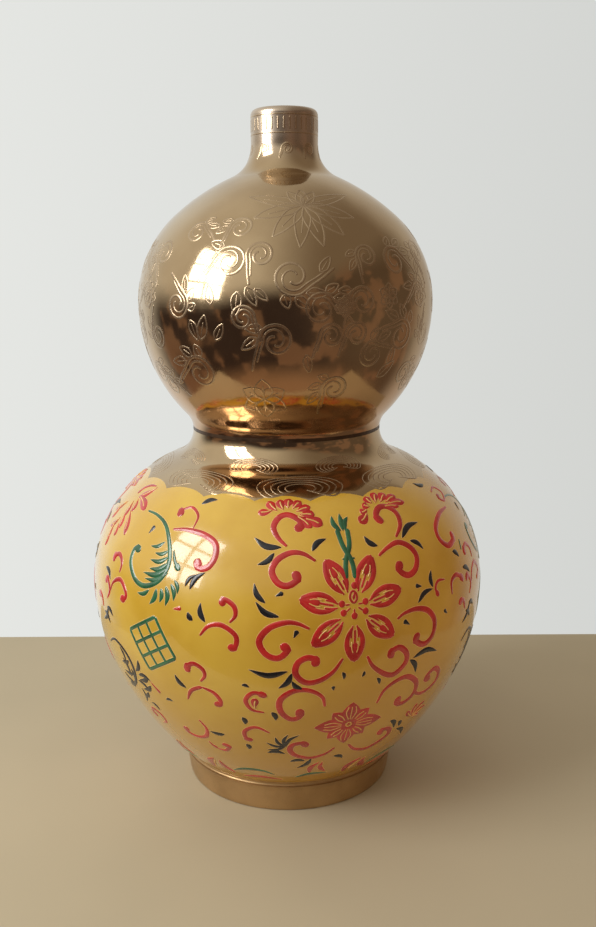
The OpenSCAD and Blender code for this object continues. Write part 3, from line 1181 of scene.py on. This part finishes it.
@dataclass
class SideFlowers:
    """Between the two columns: the side lotus on the left and the tendrils on the right."""

    lotus_stem: Row = (1.1, 1.2, -58, 188, -62, 187, -65, 184, -66, 180)
    lotus_petals: Rows = (
        (-56, 188, -62.5, 179, 2.4), (-62.5, 180, -53, 174.5, 2.5), (-62, 178.5, -60, 171, 2.1),
        (-64, 176.5, -63.5, 166.5, 2.2), (-61.5, 172, -56.5, 159.5, 2.2),
        (-64, 169.5, -62, 161, 2.1), (-65, 166, -70, 159, 1.9), (-64, 163, -63, 156.5, 2),
        (-67.5, 162.5, -68, 152.5, 2), (-67.5, 158.5, -67.5, 149.5, 1.8),
        (-68, 174.5, -74.5, 166.5, 1.8), (-71, 171.5, -73.5, 162, 1.8),
    )
    tendrils: Rows = (
        (1.6, 2.2, 65, 171, 58, 170, 52, 165, 51, 159, 54, 154.5, 58, 156, 58.5, 160),
        (1, 1.6, 63, 181, 68, 182.5, 71, 178, 68, 174, 65, 176, 66.5, 178.5),
        (1.3, 2, 50.5, 132, 51, 138, 54, 140, 57, 137, 57, 135),
        (0.9, 1.4, 48, 140.5, 45, 141, 43.5, 138, 44.5, 134),
    )

    def side_lotus(self) -> Pattern:
        """A red lotus seen from the side."""
        made = veined(each(petal, *self.lotus_petals))
        made.add(Pattern(red=curls(self.lotus_stem)))
        return made

    def right_tendrils(self) -> Pattern:
        """Red curls and dark leaves at the right of the big flower."""
        return Pattern(
            red=curls(*self.tendrils),
            black=each(leaf, (63, 186.5, 57, 189.5), (55, 151, 58, 147)),
            green=[line((60.5, 149.5), (61.5, 154.5), half=0.7)],
        )


@dataclass
class FootBand:
    """The band of lappets just above the foot."""

    count: int = 6
    lappets: Rows = (
        (-35, 27, -30, 41, 2.2), (-24, 27, -28, 40, 2.2), (9, 33, 12, 45, 1.6),
        (15.5, 33, 13, 45, 1.4),
    )
    green_arch: Row = (-24, 31, -17, 35.5, -10, 35.5, -5, 31)
    red_arch: Row = (-21, 25, -12, 27, -2, 25)

    def pattern(self) -> Pattern:
        """The band all round the vase."""
        red_arch = Stroke(places(self.red_arch), 1.5, Brush.LEAF)
        green_arch = Stroke(places(self.green_arch), 1.6, Brush.LEAF)
        unit = Pattern(
            red=[*each(leaf, *self.lappets), red_arch],
            green=[green_arch, leaf((3, 28), (17, 31), 1.4)],
            lines=[line((-33, 30), (-30.5, 38), half=0.28)],
        )
        made = Pattern()
        made.add(*(unit.turned_by(FULL_TURN / self.count * i) for i in range(self.count)))
        return made


@dataclass
class PaintedPattern:
    """The enamel pattern on the lower bulb."""

    filler_turn: float = -163.0
    filler_end: float = -12.0

    def build(self) -> None:
        """Builds the pattern's layers, front, right and left.

        The back between the columns is filled with the rose column's small strokes at its left.
        """
        rose, scroll, sides = RoseColumn().pattern(), ScrollColumn().pattern(), SideFlowers()
        lotus = sides.side_lotus()
        front, right, left = (rose.turned_by(angle) for angle in (0, THIRD, -THIRD))
        front.add(scroll, lotus, sides.right_tendrils(), FootBand().pattern())
        right.add(scroll.turned_by(THIRD))
        filler = rose.turned_by(self.filler_turn, self.filler_end)
        left.add(scroll.turned_by(-THIRD), lotus.turned_by(-THIRD), filler)
        for side, made in (("front", front), ("right", right), ("left", left)):
            coloured = made.red + made.green + made.black
            layers = (
                ("pale_lines", "pale_line", Finish.PALE, coloured, 0.07, 0.3),
                ("red_enamel", "red_enamel", Finish.RED, made.red),
                ("green_enamel", "green_enamel", Finish.GREEN, made.green),
                ("black_enamel", "black_enamel", Finish.BLACK, made.black),
                ("petal_lines", "pale_line", Finish.PALE, made.lines, 0.62),
            )
            for name, *rest in layers:
                Painting(f"{name}_{side}", *rest).build()


@dataclass
class Collar:
    """The gilded collar with its scalloped edge, laid over the shoulder of the lower bulb."""

    top: float = RUN_WAIST
    crest: float = 192.3
    tip: float = 188.8
    scallops: int = 18
    first_tip: float = 9.0
    skin: float = 0.12
    edge_soft: float = 0.4
    sunk: float = 0.01
    columns: int = 720
    rows: int = 26

    def edge(self, turn: np.ndarray) -> np.ndarray:
        """Run of the collar's lower edge at each turn."""
        share = ((turn - self.first_tip) / (FULL_TURN / self.scallops)) % 1.0
        return self.tip + (self.crest - self.tip) * (1 - np.abs(2 * share - 1) ** 2.2)

    def build(self) -> None:
        """Builds and dresses the collar's skin from a grid wrapped on the wall."""
        deselect()
        bpy.ops.mesh.primitive_grid_add(
            x_subdivisions=self.columns, y_subdivisions=self.rows, size=1.0
        )
        skin = bpy.context.object
        skin.name = "gilt_collar"
        flat = np.zeros(len(skin.data.vertices) * 3)
        skin.data.vertices.foreach_get("co", flat)
        flat = flat.reshape(-1, 3) + 0.5
        turn = FULL_TURN * flat[:, 0]
        low = self.edge(turn)
        run = low + (self.top - low) * flat[:, 1]
        rise = self.skin * np.minimum(1, (run - low) / self.edge_soft) ** 0.5 - self.sunk
        skin.data.vertices.foreach_set("co", WALL.wrap(turn, run, rise).ravel())
        bpy.ops.object.mode_set(mode="EDIT")
        close_up()
        bpy.ops.object.shade_smooth()
        dress(skin, "mirror_gilt", Finish.GILT)


def leaf_outline(spot: Spot, length: float, width: float, half: float = 0.45) -> list[Stroke]:
    """Outline of a pointed leaf with its vein, from a spot along its x axis."""
    side = width / 2
    edge = ((0, 0), (0.3 * length, side), (0.7 * length, 0.75 * side), (length, 0))
    under = [(x, -y) for x, y in edge]
    vein = line(*spot.path((0.15 * length, 0), (0.7 * length, 0)), half=0.7 * half)
    return [line(*spot.path(*edge), half=half), line(*spot.path(*under), half=half), vein]


def c_scroll(spot: Spot, radius: float, start: float, hand: int, fronds: int = 3) -> list[Stroke]:
    """A double-lined C-scroll that rolls up at one end and trails off at the other.

    Args:
        spot: Centre of its curl.
        radius: Radius of its outer line, in millimetres.
        start: Direction of the place where the curl begins, in degrees.
        hand: 1 for counter-clockwise and -1 for clockwise.
        fronds: Number of leaves on its back.

    Returns:
        Its lines.
    """
    made = []
    trail = 0.55 * hand * heading(start - 90)
    for gap, turns, tail, half in ((0.0, 1.25, 1.5, 0.7), (0.27, 0.8, 1.2, 0.5)):
        curve = []
        for back in (tail, 0.6 * tail, 0.25 * tail):
            reach = 1 - gap + 0.42 * back**1.5
            curve.append(radius * (reach * heading(start - hand * 24 * back) + back * trail))
        count = round(12 * turns)
        for share in (i / count for i in range(count + 1)):
            reach = radius * (1 - gap) * (1 - 0.72 * max(0.0, share - 0.3) / 0.7)
            curve.append(reach * heading(start + hand * FULL_TURN * turns * share))
        made.append(line(*spot.path(*curve), half=half))
    for k in range(fronds):
        lean = start + hand * (12 + 34 * k)
        root = Spot(*spot.to(*(1.08 * radius * heading(lean))), spot.tilt + lean - hand * 48)
        made += leaf_outline(root, (1.25 - 0.22 * k) * radius, 0.55 * radius)
    return made


@dataclass
class GiltRelief:
    """Fine raised line work under the gilding.

    Scrolls give turn, run, radius, start, hand and fronds; leaves give turn, run, direction and
    length; blossoms give turn, run and reach.
    """

    scrolls: Rows = (
        (-8.5, 319, 6, 200, -1, 0), (3.5, 309, 8, 320, -1, 3), (-20, 316, 7.5, 160, -1, 2),
        (-41, 297, 6.5, 60, -1, 3), (-14, 291, 5.5, 0, 1, 0), (-3, 281, 7.5, 180, -1, 2),
        (13, 295, 7, 30, 1, 2), (28, 298, 6.5, 180, -1, 2), (16.5, 283, 5.5, 180, -1, 0),
        (26, 283.5, 5.5, 180, -1, 0), (34, 274, 6.5, 60, 1, 2), (47, 282, 7.5, 120, -1, 3),
        (-34.5, 265, 8, 150, -1, 3), (20, 257, 6.5, 200, -1, 3), (-18, 333, 5.5, 180, -1, 2),
        (46, 316, 7, 30, 1, 3), (-54, 320, 6.5, 220, -1, 3), (-54.5, 282, 6, 150, 1, 2),
        (57, 262, 6, 20, 1, 2), (58, 300, 6.5, 150, -1, 2), (-56, 256, 5.5, 30, 1, 2),
        (32, 318, 5.5, 200, -1, 2), (-38, 331, 5.5, 30, 1, 2),
    )
    leaves: Rows = (
        (-31, 281, 75, 12), (-35, 290, -70, 10), (-25, 281, 60, 9), (-13, 305, -60, 10),
        (-16, 303, -95, 11), (-10, 304, -40, 8), (13, 311, 55, 9), (39, 262, 40, 12),
        (43, 268, 80, 10), (-26, 297, 100, 9), (8, 275, -80, 9),
    )
    blossoms: Rows = ((-8.5, 252, 11), (21.5, 296, 5), (-60, 302, 8), (40, 300, 6))
    cloud_rows: Rows = ((197.0, 1.0), (211.5, 0.6))
    cloud_count: int = 8
    cloud_lines: Row = (16.0, 13.4, 10.8, 8.2, 5.6)
    # Run and half width of the ring of painted dark reflection along the waist crease.
    crease_run: float = 225.5
    shade_ring_half: float = 1.3
    dome_flower: Spot = Spot(10.0, 347.0)
    long_petals: Row = (20, -20, -48, -75, -100, -130, -160, 165)
    short_petals: Row = (90, 60, 120)
    flute: Pair = (8.0, 2.0)
    neck_rings: Row = (9.5, 1.0)
    hook_drop: float = 17.0
    hook_r: float = 2.6

    def unit(self) -> list[Stroke]:
        """The scrolls of one third of the upper bulb."""
        made = []
        for turn, run, *rest in self.scrolls:
            made += c_scroll(Spot(turn, run), *rest)
        for turn, run, tilt, length in self.leaves:
            made += leaf_outline(Spot(turn, run, tilt), length, 0.42 * length)
        for turn, run, reach in self.blossoms:
            for direction in range(30, 360, 60):
                made += leaf_outline(Spot(turn, run, direction), reach, 0.75 * reach)
        return made

    def cloud(self, spot: Spot, reach: float) -> Stroke:
        """One line of a cloud: an arch with hooked ends."""
        wide, tall = 1.25 * reach, 0.55 * reach
        rim = [np.array([wide, tall]) * heading(angle) for angle in range(-40, 221, 26)]
        hook = np.array([2.4, 0.6]) * 0.16 * wide
        return line(*spot.path(rim[0] + hook * (-1, 1), *rim, rim[-1] + hook), half=0.5)

    def clouds(self) -> list[Stroke]:
        """Nested cloud outlines on the collar, all round, in two rows."""
        made = []
        step = FULL_TURN / self.cloud_count
        for row, (run, scale) in enumerate(self.cloud_rows):
            for k in range(self.cloud_count):
                spot = Spot(step * (k + row / 2) + 6, run)
                made += [self.cloud(spot, reach * scale) for reach in self.cloud_lines]
        return made

    @staticmethod
    def ring(run: float, half: float) -> Stroke:
        """A line round the vase."""
        return line(*[(turn, run) for turn in range(0, 361, 10)], half=half)

    def petals(self) -> list[Stroke]:
        """Faint long petals of a big open flower on every third of the dome."""
        made = []
        for third in range(3):
            centre = replace(self.dome_flower, turn=self.dome_flower.turn + THIRD * third)
            for direction in self.long_petals:
                made += leaf_outline(centre.ray(direction), 25, 7, 0.5)
            for direction in self.short_petals:
                made += leaf_outline(centre.ray(direction), 12, 5.5, 0.5)
        return made

    def neck_lines(self) -> list[Stroke]:
        """Short flutes below the lip, a line under them, and hooks where the neck widens."""
        made = [self.ring(RUN_RIM - drop, 0.35) for drop in self.neck_rings]
        low, high = (RUN_RIM - drop for drop in self.flute)
        made += [line((turn, low), (turn, high), half=0.4) for turn in range(0, 360, 10)]
        for turn in range(5, 360, 40):
            made += c_scroll(Spot(turn, RUN_RIM - self.hook_drop), self.hook_r, 180, -1, 0)
        return made

    def build(self) -> None:
        """Builds the line work in thirds, the petals, and a ring of painted dark reflection along
        the waist crease.
        """
        # This ring is painted shade: a dark reflection put on as a thin raised line.
        crease = [self.ring(self.crease_run, self.shade_ring_half)]
        Painting("waist_painted_shade_ring", "mirror_gilt", Finish.CREASE, crease, 0.06).build()
        unit = self.unit()
        layers = [
            (f"upper_scroll_lines_{side}", [stroke.turned_by(THIRD * i) for stroke in unit], 0.09)
            for i, side in enumerate(("front", "right", "left"))
        ]
        layers += [
            ("collar_cloud_lines", self.clouds(), 0.24),
            ("dome_petal_lines", self.petals(), 0.08),
            ("neck_engraved_lines", self.neck_lines(), 0.1),
        ]
        for name, strokes, lift in layers:
            Painting(name, "mirror_gilt", Finish.MATT_GILT, strokes, lift).build()


@dataclass
class Studio:
    """Table, wall, window light and camera."""

    camera_at: Point = (0.00587, -0.5016, 0.2738)
    camera_down: float = 11.878
    camera_roll: float = 0.29
    lens: float = 37.86
    table_low: Point = (-0.27, -0.17, -0.03)
    table_high: Point = (0.27, 0.18, 0.0)
    table_colour: Colour = (0.53, 0.46, 0.32)
    window_way: Point = (-0.80, -0.41, 0.44)
    window_far: float = 1.25
    window_rise: float = 0.2
    window_size: Pair = (0.68, 0.85)
    window_panes: tuple[int, int] = (2, 3)
    pane_share: float = 0.86
    window_power: float = 11.0
    fill_at: Point = (0.85, -0.65, 0.25)
    fill_aim: Point = (0.0, 0.0, 0.12)
    fill_size: float = 0.7
    fill_power: float = 1.9
    fill_colour: Colour = (1.0, 0.62, 0.33)
    # The wall seen by the camera is painted light: lighter at the left towards the window and
    # darker at the right.
    wall_lit: Colour = (0.84, 0.85, 0.82)
    painted_wall_shade: Colour = (0.60, 0.61, 0.59)
    wall_mirrored: Colour = (0.50, 0.45, 0.38)
    ceiling: tuple[Colour, Colour] = ((0.78, 0.74, 0.65), (0.27, 0.215, 0.16))
    shade: tuple[Colour, Colour] = ((0.055, 0.038, 0.033), (0.14, 0.10, 0.07))
    clutter: Colour = (0.30, 0.18, 0.115)
    floorboards: Colour = (0.36, 0.23, 0.14)

    def table(self) -> None:
        """Adds the plain table as a slab between two corners."""
        material = bpy.data.materials.new("table_top")
        recipe = Recipe(material)
        tone = recipe.noise(9.0, detail=2.0).step(0.3, 0.7)
        soft = recipe.blend(tone, self.table_colour, [0.95 * c for c in self.table_colour])
        recipe.finish("BsdfPrincipled", {"Base Color": soft, "Roughness": 0.7})
        low, high = np.array(self.table_low), np.array(self.table_high)
        deselect()
        bpy.ops.mesh.primitive_cube_add(size=1.0, location=tuple((low + high) / 2))
        slab = bpy.context.object
        slab.name = "table"
        slab.scale = tuple(high - low)
        bpy.ops.object.transform_apply(location=True, rotation=True, scale=True)
        slab.data.materials.append(material)

    @staticmethod
    def lamp(name: str, place: Any, way: Any, size: Pair, power: float) -> Any:
        """Adds an area lamp that the camera doesn't see.

        Args:
            name: Its name.
            place: Its middle, in metres.
            way: Direction from what it lights towards the lamp.
            size: Its width and height.
            power: Its power in watts.

        Returns:
            The lamp's object.
        """
        data = bpy.data.lights.new(name, "AREA")
        data.shape = "RECTANGLE"
        data.size, data.size_y = size
        data.energy = power
        lamp = bpy.data.objects.new(name, data)
        bpy.context.scene.collection.objects.link(lamp)
        lamp.location = place
        lamp.rotation_mode = "QUATERNION"
        lamp.rotation_quaternion = Vector(way).to_track_quat("Z", "Y")
        lamp.visible_camera = False
        return lamp

    def lights(self) -> None:
        """Adds the window's panes and a weak warm fill from the right."""
        way = np.array(self.window_way) / np.linalg.norm(self.window_way)
        side = np.cross(way, (0, 0, 1))
        side /= np.linalg.norm(side)
        up = np.cross(side, way)
        columns, rows = self.window_panes
        wide, tall = self.window_size[0] / columns, self.window_size[1] / rows
        pane = wide * self.pane_share, tall * self.pane_share
        power = self.window_power / (columns * rows)
        middle = way * self.window_far + (0, 0, self.window_rise)
        for i in range(columns):
            for j in range(rows):
                place = middle + side * wide * (i - 0.5) + up * tall * (j - 1)
                self.lamp(f"window_pane_{i}{j}", place, way, pane, power)
        aim = Vector(self.fill_at) - Vector(self.fill_aim)
        size = self.fill_size, self.fill_size
        fill = self.lamp("warm_fill", self.fill_at, aim, size, self.fill_power)
        fill.data.color = self.fill_colour
        fill.visible_glossy = False

    def room(self) -> None:
        """Makes the world: a bare wall for the camera, and a simple room for reflections.

        The two numbers of a step are how far to the right, back or up, as a share of the whole
        direction, one tone starts and ends its turn into the next.
        """
        world = bpy.data.worlds.new("room")
        bpy.context.scene.world = world
        recipe = Recipe(world)
        across, back, rise = recipe.split("Generated")
        seen = recipe.node("LightPath").outputs["Is Camera Ray"]
        # Painted light on the wall the camera sees: lighter at the left towards the window, darker
        # at the right.
        bare = recipe.blend(across.step(-0.8, 0.8), self.wall_lit, self.painted_wall_shade)
        wall = recipe.blend(across.step(-0.6, 0.6), self.wall_lit, self.wall_mirrored)
        dark = recipe.blend(across.step(0.1, 0.9), *self.shade)
        things = recipe.noise(2.6, detail=3.0, rough=0.6, place="Generated").step(0.5, 0.57)
        cluttered = recipe.blend(things * 0.75, dark, self.clutter)
        lower = recipe.blend(rise.step(-0.85, -0.6), self.floorboards, cluttered)
        upper = recipe.blend(across.step(-0.5, 0.5), *self.ceiling)
        horizon = rise + 0.2 * (1.0 - across.step(-0.9, -0.3)) - 0.3 * across.step(0.3, 0.8)
        front = recipe.blend(horizon.step(0.08, 0.45), lower, upper)
        behind = back.step(0.3, 0.75) * (1.0 - rise.step(0.55, 0.9))
        colour = recipe.blend(seen, recipe.blend(behind, front, wall), bare)
        recipe.finish("Background", {"Color": colour, "Strength": 1.0}, "OutputWorld")

    def camera(self) -> None:
        """Puts the camera at the photograph's viewing angle."""
        data = bpy.data.cameras.new("view")
        data.sensor_fit = "AUTO"
        data.sensor_width = 36.0
        data.lens = self.lens
        camera = bpy.data.objects.new("view", data)
        bpy.context.scene.collection.objects.link(camera)
        camera.location = self.camera_at
        camera.rotation_mode = "QUATERNION"
        tilt = Euler((math.radians(90 - self.camera_down), 0, 0)).to_quaternion()
        roll = Quaternion((0, 0, 1), -math.radians(self.camera_roll))
        camera.rotation_quaternion = tilt @ roll
        bpy.context.scene.camera = camera

    def build(self) -> None:
        """Builds the stage."""
        bpy.context.scene.view_settings.view_transform = "Standard"
        self.table()
        self.lights()
        self.room()
        self.camera()


@dataclass
class GourdVase:
    """The vase, from its foot to its lip."""

    seams: Sequence[str] = ("foot", "lower_bulb", "waist", "upper_bulb", "neck")

    def build(self) -> None:
        """Builds every piece of the vase."""
        Foot().build()
        yellow, gilt = "yellow_enamel", "mirror_gilt"
        sections = (
            (Bowl, "lower_bulb_bowl", "glazed", yellow, Finish.YELLOW, RUN_BASE, RUN_BELLY),
            (Shell, "lower_bulb_shoulder", "glazed", yellow, Finish.YELLOW, RUN_BELLY, RUN_WAIST),
            (Shell, "upper_bulb_bowl", "gilded", gilt, Finish.WARM_GILT, RUN_WAIST, RUN_UPPER),
            (Shell, "upper_bulb_dome", "gilded", gilt, Finish.GILT, RUN_UPPER, RUN_CROWN),
            (Neck, "neck", "gilded", gilt, Finish.GILT, RUN_CROWN, RUN_RIM),
        )
        for kind, node, finished, *rest in sections:
            kind(f"{node}_{finished}", node, *rest).build()
        for name in self.seams:
            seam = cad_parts[f"{name}_slip_seam"]
            seam.data.materials.clear()
            seam.data.materials.append(Finish.SLIP.material)
            log.info("%s: kept from the CAD model", seam.name)
        Collar().build()
        GiltRelief().build()
        PaintedPattern().build()


def main() -> None:
    """Builds the studio and the vase."""
    logging.basicConfig(level=logging.INFO, format="%(name)s %(message)s")
    Studio().build()
    GourdVase().build()
    bpy.context.view_layer.update()


if __name__ == "__main__":
    main()
